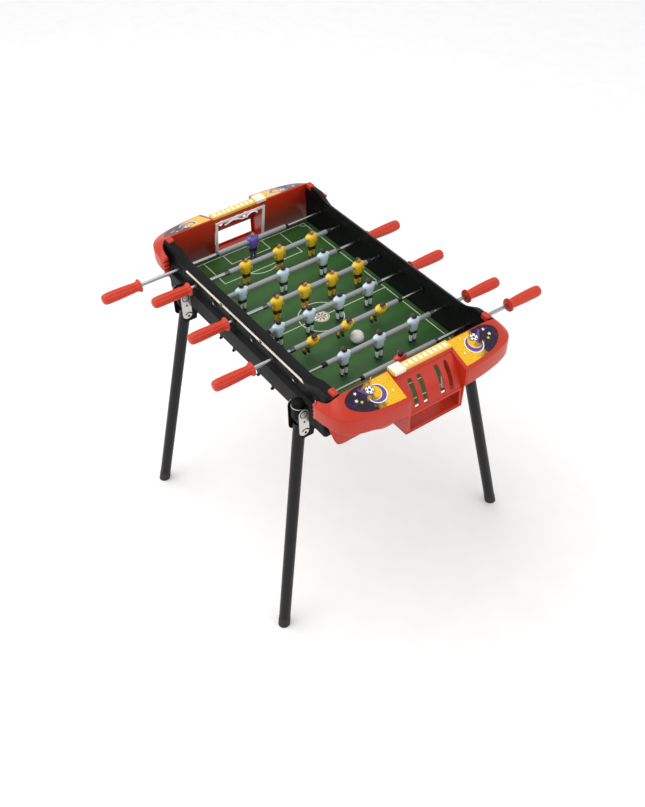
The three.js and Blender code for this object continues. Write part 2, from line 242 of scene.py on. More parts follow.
class Parts:    # collects several shapes for one piece
    def __init__(self):
        self.points, self.faces, self.indices = [], [], []

    def add(self, shape, material=0, move=None):
        points, faces = shape
        start = len(self.points)
        self.points += [move @ Vector(p) if move else Vector(p) for p in points]
        self.faces += [[start + i for i in face] for face in faces]
        self.indices += [material] * len(faces)

    def make(self, name, materials, **options):
        return makePiece(name, self.points, self.faces, materials, self.indices, **options)


def flatSquare(half):
    return [(-half, -half, 0), (half, -half, 0), (half, half, 0), (-half, half, 0)], [(0, 1, 2, 3)]


def loft(rings, closed=True, ends=True):
    points = [p for ring in rings for p in ring]
    n = len(rings[0])
    faces = []
    for j in range(len(rings) - 1):
        for i in range(n if closed else n - 1):
            k = (i + 1) % n
            faces.append((j * n + i, j * n + k, (j + 1) * n + k, (j + 1) * n + i))
    if ends:
        faces.append(tuple(range(n)))
        faces.append(tuple((len(rings) - 1) * n + i for i in range(n)))
    return points, faces


def circle(radius, count, centre=(0, 0), squash=1.0, power=2.0):
    out = []
    for i in range(count):
        a = 2 * math.pi * i / count
        c, s = math.cos(a), math.sin(a)
        out.append((centre[0] + math.copysign(abs(c) ** (2 / power), c) * radius,
                    centre[1] + math.copysign(abs(s) ** (2 / power), s) * radius * squash))
    return out


# A shape turned about the Y axis, from points of (radius, place along Y)
def turnedY(profile, count=40, flutes=0, depth=0.0, fluted=(0, 0)):
    rings = []
    for radius, y in profile:
        ring = []
        for i in range(count):
            a = 2 * math.pi * i / count
            r = radius
            if flutes and fluted[0] <= y <= fluted[1]:
                r -= depth * max(0, math.cos(a * flutes)) ** 2
            ring.append((r * math.cos(a), y, r * math.sin(a)))
        rings.append(ring)
    return loft(rings)


# A loop turned about the Y axis, open in the middle
def hoop(profile, count=32):
    turns = [2 * math.pi * i / count for i in range(count)]
    rings = [[(r * math.cos(a), y, r * math.sin(a)) for a in turns] for r, y in [*profile, profile[0]]]
    return loft(rings, ends=False)


# An outline with its corners rounded; a radius of 0 keeps the corner
def fillet(points, radii, steps=5, closed=True):
    out = []
    n = len(points)
    for i, (point, radius) in enumerate(zip(points, radii)):
        p = Vector(point)
        if radius <= 0 or (not closed and i in (0, n - 1)):
            out.append(p)
            continue
        a = Vector(points[i - 1]) - p
        b = Vector(points[(i + 1) % n]) - p
        half = a.angle(b) / 2
        cut = min(radius / math.tan(half), a.length * 0.48, b.length * 0.48)
        a.normalize()
        b.normalize()
        true = cut * math.tan(half)
        centre = p + (a + b).normalized() * (true / math.sin(half))
        start, end = p + a * cut - centre, p + b * cut - centre
        sweep = start.angle(end)
        for k in range(steps + 1):
            t = k / steps
            weight = math.sin(sweep) or 1
            out.append(centre + (start * math.sin((1 - t) * sweep) + end * math.sin(t * sweep)) / weight)
    return out


# An outline across an axis: (y, z) along X, (x, z) along Y, or (x, y) along Z
def prism(outline, axis, low, high):
    put = {
        "X": lambda u, v, w: (w, u, v), "Y": lambda u, v, w: (u, w, v), "Z": lambda u, v, w: (u, v, w),
    }[axis]
    return loft([[put(u, v, w) for u, v in outline] for w in (low, high)])


def box(low, high):
    (x0, y0, z0), (x1, y1, z1) = low, high
    return prism([(x0, y0), (x1, y0), (x1, y1), (x0, y1)], "Z", z0, z1)


def rounded(piece, width=1.2, segments=3, angle=30):
    bevel = piece.modifiers.new("edges", "BEVEL")
    bevel.width = width * mm
    bevel.segments = segments
    bevel.limit_method = "ANGLE"
    bevel.angle_limit = math.radians(angle)
    bevel.harden_normals = True
    return piece


def belongs(piece, body, slot, *nodes):
    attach(piece, body)
    if nodes:
        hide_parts(*nodes)
    return piece


def halfTurned(piece, name):
    twin = piece.copy()
    twin.name = name
    twin.rotation_euler = (0, 0, halfTurn)
    bpy.context.scene.collection.objects.link(twin)
    return twin


# A piece made for one half of the table, and its twin after half a turn about Z
def bothHalves(piece, base, body, slot, node=None, ends=("near", "far")):
    far = halfTurned(piece, f"{base}_{ends[1]}")
    piece.name = f"{base}_{ends[0]}"
    for half, end in ((piece, ends[0]), (far, ends[1])):
        belongs(half, body.format(end), slot, *([node.format(end)] if node else []))


# A smooth curve through points of any number of coordinates
def smoothPath(points, steps):
    pts = [Vector(p) for p in points]
    pts = [2 * pts[0] - pts[1], *pts, 2 * pts[-1] - pts[-2]]
    out = []
    for i in range(1, len(pts) - 2):
        p0, p1, p2, p3 = pts[i - 1:i + 3]
        for k in range(steps):
            t = k / steps
            out.append(0.5 * (2 * p1 + (p2 - p0) * t + (2 * p0 - 5 * p1 + 4 * p2 - p3) * t * t
                              + (3 * p1 - p0 - 3 * p2 + p3) * t ** 3))
    out.append(pts[-2])
    return out


def tubeAlong(points, radius, count=10):
    pts = [Vector(p) for p in points]
    rings = []
    for i, p in enumerate(pts):
        ahead = (pts[min(i + 1, len(pts) - 1)] - pts[max(i - 1, 0)]).normalized()
        side = ahead.cross(Vector((1, 0, 0.01))).normalized()
        up = side.cross(ahead)
        rings.append([p + side * (radius * c) + up * (radius * s) for c, s in circle(1, count)])
    return loft(rings)


finish = {
    "black": surface("cabinetBlack", (0.004, 0.004, 0.0045), 0.45, 700, 0.25, 0.15, wear=0.08, shine=0.09),
    "deepBlack": surface("bushBlack", (0.006, 0.006, 0.006), 0.45, 900, 0.2, 0.1, shine=0.2),
    "red": surface("capRed", (0.48, 0.024, 0.007), 0.3, 1100, 0.06, 0.07, coat=0.04, wear=0.1, shine=0.35),
    "gripRed": surface("gripRed", (0.56, 0.036, 0.012), 0.34, 1000, 0.1, 0.08, coat=0.04, wear=0.1,
                       shine=0.35),
    "white": surface("goalWhite", (0.86, 0.86, 0.84), 0.32, 900, 0.05, 0.03),
    "cream": surface("markerCream", (0.84, 0.80, 0.66), 0.35, 900, 0.06, 0.05),
    "railYellow": surface("railYellow", (0.80, 0.52, 0.10), 0.35, 900, 0.06, 0.08),
    "legPaint": surface("legPaint", (0.006, 0.006, 0.0065), 0.34, 500, 0.12, 0.15, wear=0.1, shine=0.2),
    "rubber": surface("footRubber", (0.014, 0.014, 0.014), 0.7, 600, 0.4, 0.15),
    "sleeve": surface("sleeveGrey", (0.27, 0.28, 0.29), 0.32, 900, 0.06, 0.08, coat=0.1),
    "steel": surface("rodSteel", (0.40, 0.41, 0.42), 0.24, 300, 0.1, 0.08, metal=1.0),
    "plate": surface("hingePlate", (0.62, 0.61, 0.56), 0.34, 260, 0.3, 0.14, metal=0.9, wear=0.4),
    "ball": surface("ballWhite", (0.97, 0.97, 0.95), 0.4, 420, 0.1, 0.03),
    "line": surface("pitchWhite", (0.72, 0.78, 0.66), 0.55, 500, 0.1, 0.1),
}
print("stage: materials made")


# Pitch: mown grass in bands along the rods, with the markings printed on it
pitch = {
    "light": (0.036, 0.128, 0.022), "dark": (0.019, 0.076, 0.014), "bandsPerMetre": 11.36,
    "lineWidth": 2.2, "touchLine": 206, "goalLine": 376.4, "circle": 59, "emblem": 22,
    "boxFront": 264.6, "boxHalf": 123.7, "smallFront": 330, "smallHalf": 62,
    "arcCentre": 306, "arcRadius": 62, "corner": 15, "board": (0.30, 0.19, 0.10),
    "bandSoft": 0.16, "blade": (0.020, 0.090, 0.016),
}


def grassSurface():
    grass = surface("grass", pitch["light"], 0.5, drift=0.04)
    graph = Graph(grass)
    count = graph.compute("MULTIPLY", graph.along(0), pitch["bandsPerMetre"])
    wave = graph.compute("PINGPONG", count, 0.5)
    bands = graph.ramp(wave, 0.25 - pitch["bandSoft"], 0.25 + pitch["bandSoft"])
    colour = graph.mix(bands, graph.painted(), (*pitch["dark"], 1))
    stretch = graph.add("Mapping", {"Vector": graph.where, "Scale": (1, 0.35, 1)}).outputs["Vector"]
    blades = graph.ramp(graph.noise(420, 5, stretch), 0.35, 0.7, 0, 0.55)
    colour = graph.mix(blades, colour, (*pitch["blade"], 1))
    facing = graph.add("NewGeometry").outputs["True Normal"]
    up = graph.compute("GREATER_THAN", graph.along(2, facing), 0.5)
    graph.paint(graph.mix(up, (*pitch["board"], 1), colour))    # hardboard on the underside and edges
    return grass


# A flat band of even width along a level path of (x, y)
def band(path, width, low, high, closed=False):
    pts = [Vector(p) for p in path]
    n = len(pts)
    rings = []
    for i, p in enumerate(pts):
        before = pts[i - 1] if i or closed else p
        after = pts[(i + 1) % n] if i < n - 1 or closed else p
        into, out = p - before, after - p
        ahead = ((into.normalized() if into.length else out.normalized())
                 + (out.normalized() if out.length else into.normalized())).normalized()
        mitre = 1 / max(0.5, ahead.dot((out if out.length else into).normalized()))
        side = Vector((-ahead.y, ahead.x)) * (width / 2 * mitre)
        a, b = p + side, p - side
        rings.append([(a.x, a.y, low), (b.x, b.y, low), (b.x, b.y, high), (a.x, a.y, high)])
    if closed:
        rings.append(rings[0])
    return loft(rings, ends=not closed)


def arc(centre, radius, start, end, count=40):
    steps = [math.radians(start + (end - start) * i / count) for i in range(count + 1)]
    return [(centre[0] + radius * math.cos(a), centre[1] + radius * math.sin(a)) for a in steps]


def star(outer, inner, points, turn=90.0, centre=(0, 0)):
    out = []
    for i in range(2 * points):
        a = math.radians(turn + 180 * i / points)
        r = inner if i % 2 else outer
        out.append((centre[0] + r * math.cos(a), centre[1] + r * math.sin(a)))
    return out


def buildPitch():
    board = frame["nodes"]["pitch_board"]
    board.data.materials.clear()
    board.data.materials.append(grassSurface())
    low, high, width = pitchTop - 0.1, pitchTop + 0.25, pitch["lineWidth"]
    lines = Parts()
    side, end = pitch["touchLine"], pitch["goalLine"]
    lines.add(band([(-end, -side), (end, -side), (end, side), (-end, side)], width, low, high, True))
    lines.add(band([(0, -side), (0, side)], width, low, high))
    lines.add(band(arc((0, 0), pitch["circle"], 0, 360, 72)[:-1], width, low, high, True))
    reach = math.degrees(math.acos((pitch["arcCentre"] - pitch["boxFront"]) / pitch["arcRadius"]))
    for way in (-1, 1):
        boxes = ((pitch["boxFront"], pitch["boxHalf"]), (pitch["smallFront"], pitch["smallHalf"]))
        for front, half in boxes:
            corners = [(end, -half), (front, -half), (front, half), (end, half)]
            lines.add(band([(x * way, y) for x, y in corners], width, low, high))
        bow = arc((pitch["arcCentre"], 0), pitch["arcRadius"], 180 - reach, 180 + reach, 24)
        lines.add(band([(x * way, y) for x, y in bow], width, low, high))
        for across in (-1, 1):
            curve = arc((0, 0), pitch["corner"], 90, 180, 12)
            lines.add(band([((end + x) * way, (y - side) * across) for x, y in curve], width, low, high))
    belongs(lines.make("pitch_markings", [finish["line"]]), "frame", "pitch_print")

    emblem = Parts()
    size = pitch["emblem"]
    emblem.add(prism(circle(size, 48), "Z", low, high + 0.05), 0)
    emblem.add(band(arc((0, 0), size - 2.5, 0, 360, 48)[:-1], 1.6, low, high + 0.12, True), 1)
    for i in range(8):
        a = math.pi / 4 * i
        petal = [(3.2 * math.cos(a), 3.2 * math.sin(a)), (11 * math.cos(a - 0.24), 11 * math.sin(a - 0.24)),
                 (17 * math.cos(a), 17 * math.sin(a)), (11 * math.cos(a + 0.24), 11 * math.sin(a + 0.24))]
        emblem.add(prism(petal, "Z", low, high + 0.12), 1 + i % 2)
    emblem.add(prism(star(3.4, 1.6, 5), "Z", low, high + 0.18), 1)
    tones = [finish["line"], surface("emblemBlack", (0.02, 0.02, 0.02), 0.5),
             surface("emblemRust", (0.50, 0.10, 0.04), 0.5)]
    belongs(emblem.make("centre_emblem", tones), "frame", "pitch_print")


# End cap: two rounded shoulders around a goal recess. Each station gives the inner edge, the ridge
# (x, y, z each), the height of the fascia's foot, then (run from the inner edge, z) of the skirt,
# of the lower rim and of the inner panel's foot
cap = {
    "stations": [
        (372, 82, 782, 455.5, 82, 752, 706, 40, 684, 30, 640, 20, 640),
        (372, 112, 782, 454.2, 112, 752, 706, 40, 684, 30, 640, 20, 640),
        (372, 152, 782, 449.5, 152, 752, 706, 40, 686, 30, 656, 18.5, 650),
        (372, 192, 782, 441, 195, 752, 706, 39, 691, 30, 672, 18.5, 650),
        (372, 216, 781, 430, 226, 751, 708, 37, 697, 30, 690, 18.5, 650),
        (372, 229, 778, 412, 246, 750, 711, 28, 702, 22, 697, 14, 655),
        (366, 240, 768, 385, 256.5, 748, 713, 14, 703, 9, 699, 3, 695),
        (350, 243, 757, 350, 260.5, 746, 712, 12, 703, 7, 699, 2, 697),
        (337, 243, 752, 338, 259, 744, 712, 11, 705, 7, 701, 2, 700),
    ],
    "edge": 2.5, "ridge": 4.5, "foot": 4, "skirt": 5, "steps": 6, "shell": 3,
    "scallops": 4, "scallop": [(0.2, 244), (4.5, 244.5), (5.5, 247), (5.5, 255), (4.3, 258.5), (0.2, 259.5)],
    "clip": ((347, -229, 768), (371, -213, 784.5)),
}
dense = smoothPath(cap["stations"], cap["steps"])


def shoulderRing(station, mirror):
    ix, iy, iz, ox, oy, oz, footZ, skirt, skirtZ, rim, rimZ, panel, panelZ = station
    inner, outer = Vector((ix, iy)), Vector((ox, oy))
    reach = (outer - inner).length
    out = (outer - inner) / reach
    corners = [(panel, panelZ), (0, iz), (reach, oz), (reach, footZ), (skirt, skirtZ), (rim, rimZ)]
    radii = [0, cap["edge"], cap["ridge"], cap["foot"], cap["skirt"], 0]
    section = fillet(corners, radii, 4, False)
    return [(ix + out.x * u, (iy + out.y * u) * mirror, z) for u, z in section]


# Points faces outwards, then gives the sheet its thickness
def openShell(piece, thickness):
    work = bmesh.new()
    work.from_mesh(piece.data)
    work.faces.ensure_lookup_table()
    top = max(work.faces, key=lambda f: f.calc_center_median().z)
    if top.normal.z < 0:
        bmesh.ops.reverse_faces(work, faces=work.faces)
    work.to_mesh(piece.data)
    work.free()
    thick = piece.modifiers.new("thickness", "SOLIDIFY")
    thick.thickness = thickness * mm
    thick.offset = -1
    return piece


def buildShoulders():
    for mirror, side in ((-1, "left"), (1, "right")):
        rings = [shoulderRing(station, mirror) for station in dense]
        points, faces = loft(rings, closed=False, ends=False)
        n = len(rings[0])
        faces.append(tuple((len(rings) - 1) * n + i for i in range(n)))
        shell = makePiece(f"cap_{side}", points, faces, [finish["red"]], angle=38)
        openShell(shell, cap["shell"])
        bothHalves(shell, f"cap_shoulder_{side}", "frame", "cap_red", "end_cap_{}")
        grips = Parts()
        for k in range(cap["scallops"]):
            place = Matrix.Translation((337, 0, 744 - 12 * k))
            points, faces = turnedY(cap["scallop"], 16)
            grips.add(([(x, y * mirror, z) for x, y, z in points], faces), 0, place)
        bothHalves(grips.make(f"scallops_{side}", [finish["red"]], angle=50),
                   f"cap_scallops_{side}", "frame", "cap_red", "end_cap_{}")
        low, high = cap["clip"]
        y0, y1 = sorted((-low[1] * mirror, -high[1] * mirror))
        clip = Parts()
        clip.add(box((low[0], y0, low[2]), (high[0], y1, high[2])))
        hook = rounded(clip.make(f"clip_{side}", [finish["red"]]), 4.5, 5, 40)
        bothHalves(hook, f"cap_clip_{side}", "frame", "cap_red", "end_cap_{}")


recess = {
    "half": 78, "cheek": 4.5, "floor": 4, "front": 446, "jamb": 6, "lip": 693, "lipDepth": 8,
    "gridTop": (398, 771), "gridBend": (434, 748), "gridFoot": (445, 694),
    "slots": (-51, -25, 25, 51), "slotHalf": 5.5, "slotFrom": 0.14, "slotTo": 0.93, "skin": 3.2,
}


def gridPanel():
    a, b, c = (Vector(recess[k]) for k in ("gridTop", "gridBend", "gridFoot"))
    rows = [0, 0.07, 0.14, 0.165, 0.2, 0.3, 0.4, 0.5, 0.6, 0.7, 0.8, 0.87, 0.905, 0.93, 0.965, 1]
    half = recess["half"] + 0.5
    points, faces = [], []
    for t in rows:
        spot = a * (1 - t) ** 2 + b * 2 * t * (1 - t) + c * t * t
        near = min(t - recess["slotFrom"], recess["slotTo"] - t)
        width = recess["slotHalf"] * (1 if near > 0.05 else 0.88 if near > 0.015 else 0.45)
        ys = [-half]
        for y in recess["slots"]:
            ys += [y - width, y + width]
        ys.append(half)
        points += [(spot.x, y, spot.y) for y in ys]
    n = 2 * len(recess["slots"]) + 2
    for j in range(len(rows) - 1):
        inSlot = rows[j] >= recess["slotFrom"] and rows[j + 1] <= recess["slotTo"]
        for i in range(n - 1):
            if not (inSlot and i % 2):
                faces.append((j * n + i, j * n + i + 1, (j + 1) * n + i + 1, (j + 1) * n + i))
    grid = openShell(makePiece("grid", points, faces, [finish["red"]]), recess["skin"])
    return rounded(grid, 0.9, 2, 50)


def buildRecess():
    half, outer = recess["half"], recess["half"] + recess["cheek"]
    front, low = recess["front"], frameBottom - recess["floor"]
    body = Parts()
    corners = [(391, low), (front, low), (front + 4, 698), (455, 708), (455.5, 749), (451, 754), (374, 781),
               (372.5, 776)]
    face = fillet(corners, [1, 6, 10, 6, 6, 6, 2, 2], 4)
    for y0, y1 in ((-outer, -half), (half, outer)):
        body.add(prism(face, "Y", y0, y1))
    body.add(box((390, -outer, low), (front, outer, frameBottom)))
    body.add(box((front - 4, -half, frameBottom), (front, half, frameBottom + 5)))
    for y0, y1 in ((-half, -half + recess["jamb"]), (half - recess["jamb"], half)):
        body.add(box((front - 3.5, y0, frameBottom), (front, y1, recess["lip"])))
    lip = fillet([(front - recess["lipDepth"], recess["lip"] - 4), (front + 1, recess["lip"] - 4),
                  (front + 1, recess["lip"] + 3), (front - 4, recess["lip"] + 3)], [1, 2, 2, 1], 3)
    body.add(prism(lip, "Y", -half, half))
    beam = fillet([(375, 765), (400, 765), (400, 772), (397, 778), (375, 778)], [1, 1, 3, 2, 1], 3)
    body.add(prism(beam, "Y", -half - 1, half + 1))
    tray = rounded(body.make("recess", [finish["red"]]), 1.1, 3, 40)
    bothHalves(tray, "goal_recess", "frame", "cap_red", "end_cap_{}")
    bothHalves(gridPanel(), "goal_grid", "frame", "cap_red", "end_cap_{}")


# Printed panels on the sloping tops, running from yellow by the goal to dark violet outside
sticker = {
    "from": 87, "to": 213, "roundFrom": 165, "inner": 4.5, "outer": 9.5, "lift": 0.4,
    "yellow": (0.76, 0.44, 0.012), "dark": (0.016, 0.006, 0.020), "violet": (0.10, 0.035, 0.23),
    "white": (0.80, 0.80, 0.78), "lime": (0.52, 0.62, 0.05), "orange": (0.60, 0.20, 0.01),
    "change": (0.176, 0.204),
    "stars": [((184, 17), 4.6, 1), ((190, 33), 4.8, 1), ((181, 41), 4.2, 4), ((103, 49), 3.4, 1),
              ((97, 17), 2.6, 4), ((118, 12), 2.4, 1)],
}


# A point on the sloping top: along the goal line, down the slope, and a little above it
def onSlope(along, down, lift, mirror=1):
    k = next(i for i in range(1, len(dense)) if dense[i][1] >= along or i == len(dense) - 1)
    p, q = dense[k - 1], dense[k]
    t = (along - p[1]) / (q[1] - p[1])
    s = p + (q - p) * t
    inner, outer = Vector(s[0:3]), Vector(s[3:6])
    out = (outer - inner).normalized()
    spot = inner + out * down + Vector((-out.z, 0, out.x)) * lift
    return Vector((spot.x, spot.y * mirror, spot.z)), (outer - inner).length


def stickerSurface():
    art = surface("capPrint", sticker["yellow"], 0.3, 900, 0.04, 0.05, shine=0.3)
    graph = Graph(art)
    away = graph.compute("ABSOLUTE", graph.along(1))
    drift = graph.compute("MULTIPLY_ADD", graph.noise(55, 6), 0.09, away)
    change = graph.ramp(drift, *sticker["change"])
    colour = graph.mix(change, graph.painted(), (*sticker["dark"], 1))
    cells = graph.add("TexVoronoi", {"Scale": 170, "Vector": graph.where}).outputs["Distance"]
    fleck = graph.ramp(cells, 0.24, 0.17)         # scattered flecks of the other colour
    other = graph.mix(change, (*sticker["orange"], 1), (*sticker["violet"], 1))
    graph.paint(graph.mix(fleck, colour, other))
    return art


def decal(parts, outline, material, lift, mirror):
    rings = [[onSlope(u, v, h, mirror)[0] for u, v in outline] for h in (0.1, lift)]
    parts.add(loft(rings), material)


def buildStickers():
    tones = [stickerSurface(), surface("printWhite", sticker["white"], 0.3, coat=0.4),
             surface("printViolet", sticker["violet"], 0.3, coat=0.4),
             surface("printBlack", (0.012, 0.012, 0.014), 0.3, coat=0.4),
             surface("printLime", sticker["lime"], 0.3, coat=0.4)]
    for mirror, side in ((-1, "left"), (1, "right")):
        parts = Parts()
        rings = []
        for i in range(49):
            along = sticker["from"] + (sticker["to"] - sticker["from"]) * math.sin(math.pi / 2 * i / 48)
            reach = onSlope(along, 0, 0)[1]
            low, high = sticker["inner"], reach - sticker["outer"]
            q = max(0, (along - sticker["roundFrom"]) / (sticker["to"] + 0.4 - sticker["roundFrom"]))
            half = (high - low) / 2 * math.sqrt(1 - q ** 2.4)
            middle = (low + high) / 2 - 3 * q
            downs = [middle + half * s for s in (-1, -0.5, 0, 0.5, 1)]
            ring = [onSlope(along, d, sticker["lift"], mirror)[0] for d in downs]
            rings.append(ring + [onSlope(along, d, -0.6, mirror)[0] for d in reversed(downs)])
        parts.add(loft(rings), 0)
        swoosh = arc((140, 39), 24, 20, 262, 30) + arc((146, 33), 18.5, 262, 20, 30)
        inner = arc((140, 39), 21.6, 28, 254, 30) + arc((145, 34.5), 18.2, 254, 28, 30)
        decal(parts, swoosh, 1, 0.6, mirror)
        decal(parts, inner, 2, 0.8, mirror)
        tail = [(152, 30), (168, 14), (176, 8), (173, 17), (160, 33), (150, 41), (147, 38)]
        decal(parts, fillet(tail, [2] * 7, 3), 2, 0.75, mirror)
        ball = (150, 24)
        decal(parts, circle(10.5, 32, ball), 3, 0.9, mirror)
        decal(parts, circle(9.6, 32, ball), 1, 1.0, mirror)
        decal(parts, star(3.6, 3.0, 5, 90, ball), 3, 1.1, mirror)
        for k in range(5):
            a = math.radians(54 + 72 * k)
            spot = (ball[0] + 7.6 * math.cos(a), ball[1] + 7.6 * math.sin(a))
            decal(parts, star(2.1, 1.7, 5, 54 + 72 * k, spot), 3, 1.1, mirror)
        for place, size, tone in sticker["stars"]:
            decal(parts, star(size, size * 0.45, 5, 80, place), tone, 0.8, mirror)
        panel = parts.make(f"print_{side}", tones, angle=50)
        bothHalves(panel, f"cap_print_{side}", "frame", "cap_red")


score = {
    "halfLength": 83, "x": (372.6, 395.6), "top": 785, "pads": 11, "spacing": 14.2, "pad": (8.6, 6.6),
    "slider": 2.6, "sliderGap": 0.35,
}


def buildScore():
    (x0, x1), top, half = score["x"], score["top"], score["halfLength"]
    rail = Parts()
    rail.add(box((x0, -half, top - 8), (x1, half, top - 0.8)), 0)
    middle = (x0 + x1) / 2
    a, b = score["pad"][0] / 2, score["pad"][1]
    for k in range(score["pads"]):
        y = (k - (score["pads"] - 1) / 2) * score["spacing"]
        corners = [(middle - b, y - a), (middle + b, y - a), (middle + b, y + a), (middle - b, y + a)]
        rail.add(prism(fillet(corners, [1.5] * 4, 3), "Z", top - 1.2, top - 0.1), 1)
    strip = rounded(rail.make("rail", [finish["railYellow"], finish["cream"]]), 0.5, 2, 40)
    bothHalves(strip, "score_rail", "frame", "marker_cream", "end_cap_{}")

    low, high, thick = markerLow, markerHigh, score["slider"]
    under = top + score["sliderGap"]
    outline = [(low.x, low.z), (low.x + thick, low.z), (low.x + thick, under), (high.x - thick, under),
               (high.x - thick, low.z), (high.x, low.z), (high.x, high.z - 0.8), (low.x, high.z - 0.8)]
    outline = fillet(outline, [0.6, 0.6, 0.5, 0.5, 0.6, 0.6, 2.2, 2.2], 3)
    saddle = Parts()
    saddle.add(prism(outline, "Y", low.y, high.y))
    a, b = low.xy + Vector((5, 5)), high.xy - Vector((5, 5))
    ring = fillet([(a.x, a.y), (b.x, a.y), (b.x, b.y), (a.x, b.y)], [3] * 4, 4)
    saddle.add(band(ring, 2.2, high.z - 1.2, high.z - 0.05, True))
    slider = rounded(saddle.make("marker", [finish["cream"]]), 0.5, 2, 45)
    bothHalves(slider, "score_slider", "score_marker_{}", "marker_cream", "score_marker_{}")


goal = {"half": 78, "height": 113, "bar": 7.5, "depth": 4.4, "lean": 20 / 142, "curl": 52}


def panelX(z):
    return 372 + (capTop - z) * goal["lean"]


def buildGoal():
    half, bar, top = goal["half"], goal["bar"], pitchTop + goal["height"]
    parts = Parts()
    low = pitchTop + 0.5

    def leaning(shape):
        points, faces = shape
        return [(panelX(z) - 0.5 + x, y, z) for x, y, z in points], faces

    for y0, y1 in ((-half, -half + bar), (half - bar, half)):
        parts.add(leaning(box((-goal["depth"], y0, low), (0, y1, top - bar / 2))))
    parts.add(leaning(box((-goal["depth"], -half, top - bar), (0, half, top))))
    curl = goal["curl"]
    wave = []
    for i in range(61):
        t = i / 60
        rise = 5.5 * math.sin(t * 3.5 * math.pi) * (1 - 0.4 * t)
        wave.append((-goal["depth"] - 0.6, -curl + 2 * curl * t, top - bar - 3 + rise))
    parts.add(leaning(tubeAlong(wave, 2.1, 10)))
    for y, z in ((-curl, top - bar - 6), (-20, top - bar - 9), (17, top - 3)):
        knob = [(0.2, -2.2), (2.6, -1.6), (3.4, 0), (2.6, 1.6), (0.2, 2.2)]
        turn = Matrix.Translation((-goal["depth"] + 0.4, y, z)) @ Matrix.Rotation(halfTurn / 2, 4, "Z")
        points, faces = turnedY(knob, 16)
        parts.add(leaning(([turn @ Vector(p) for p in points], faces)))
    frameShape = rounded(parts.make("goal", [finish["white"]]), 1.2, 3, 40)
    bothHalves(frameShape, "goal_posts", "frame", "goal_white", "goal_frame_{}")


# Side wall, made on the -Y side: an I-shaped moulding with raised ends
wall = {
    "half": 347, "inner": 220, "web": 229, "rim": 234, "rimFoot": 740, "rail": 241, "railTop": 697,
    "lip": 215, "crest": 768, "endEdge": 775, "raise": (270, 330),
    "strip": 264, "stripLow": 741.3, "stripHigh": 750.4, "marks": (-88, 88), "lugs": (-100, -39, 73, 135),
    "screws": (-308, -176, -88, 0, 88, 176, 308), "bores": (5.7, 3.9), "groove": (390, 223.5),
}


def cutAway(piece, tool):
    cut = piece.modifiers.new("bores", "BOOLEAN")
    cut.object = tool
    cut.solver = "EXACT"
    graph = bpy.context.evaluated_depsgraph_get()
    mesh = bpy.data.meshes.new_from_object(piece.evaluated_get(graph))
    piece.modifiers.clear()
    piece.data = mesh
    bpy.data.objects.remove(tool)
    mesh.polygons.foreach_set("use_smooth", [True] * len(mesh.polygons))
    mesh.set_sharp_from_angle(angle=math.radians(30))


def wallBody():
    inner, web, rim, rail, lip = (-wall[k] for k in ("inner", "web", "rim", "rail", "lip"))
    corners = [(inner, wallTop - 20), (lip, wallTop - 12), (lip, wall["crest"]), (rim + 1, wallTop),
               (rim, wallTop - 2), (rim, wall["rimFoot"]), (web, wall["rimFoot"] - 3),
               (web, wall["railTop"] + 4), (rail, wall["railTop"]), (rail, frameBottom + 6),
               (rail + 8, frameBottom), (inner, frameBottom)]
    outline = fillet(corners, [3, 4, 1.6, 1.5, 0.8, 1.2, 3, 4, 3, 3, 3, 1.5], 5)
    parts = Parts()
    parts.add(prism(outline, "X", -wall["half"], wall["half"]))
    body = parts.make("wall", [finish["black"]], angle=40)
    drills = Parts()
    for rod in rods:
        radius = wall["bores"][0 if rod["side"] < 0 else 1]
        hole = turnedY([(radius, -250), (radius, -210)], 20)
        drills.add(hole, 0, Matrix.Translation((rod["axis"].x, 0, rod["axis"].z)))
    long, wide = wall["groove"]
    drills.add(box((-long, -wide, pitchTop - 8.4), (long, wide, pitchTop + 0.4)))
    cutAway(body, drills.make("drills", [finish["black"]]))
    return body


# The rim climbs to the height of the cap at both ends of the wall
def raisedEnds():
    inner, web, rim, lip = (-wall[k] for k in ("inner", "web", "rim", "lip"))
    start, end = wall["raise"]
    parts = Parts()
    for way in (-1, 1):
        rings = []
        for i in range(19):
            t = min(1, i / 16)
            rise = 3 * t * t - 2 * t ** 3
            top = wall["crest"] + (capTop - wall["crest"]) * rise
            edge = wallTop + (wall["endEdge"] - wallTop) * rise
            corners = [(inner, wallTop - 20), (lip + 0.08, wallTop - 12), (lip + 0.08, top), (rim + 1, edge),
                       (rim - 0.08, edge - 2), (rim - 0.08, 741), (web, 738)]
            outline = fillet(corners, [0, 2, 1.6, 1.5, 0.8, 1, 0], 4)
            x = start + (end - start) * t + (i - 16) * 8 * (i > 16)
            rings.append([((panelX(z) - 0.5 if i == 18 else x) * way, y, z) for y, z in outline])
        parts.add(loft(rings))
        side = [(345, pitchTop + 1), (382, pitchTop + 1), (380.5, pitchTop + 64), (376, 744), (345, 744)]
        parts.add(prism([(x * way, z) for x, z in side], "Y", web, inner))
    return parts.make("ends", [finish["black"]], angle=38)


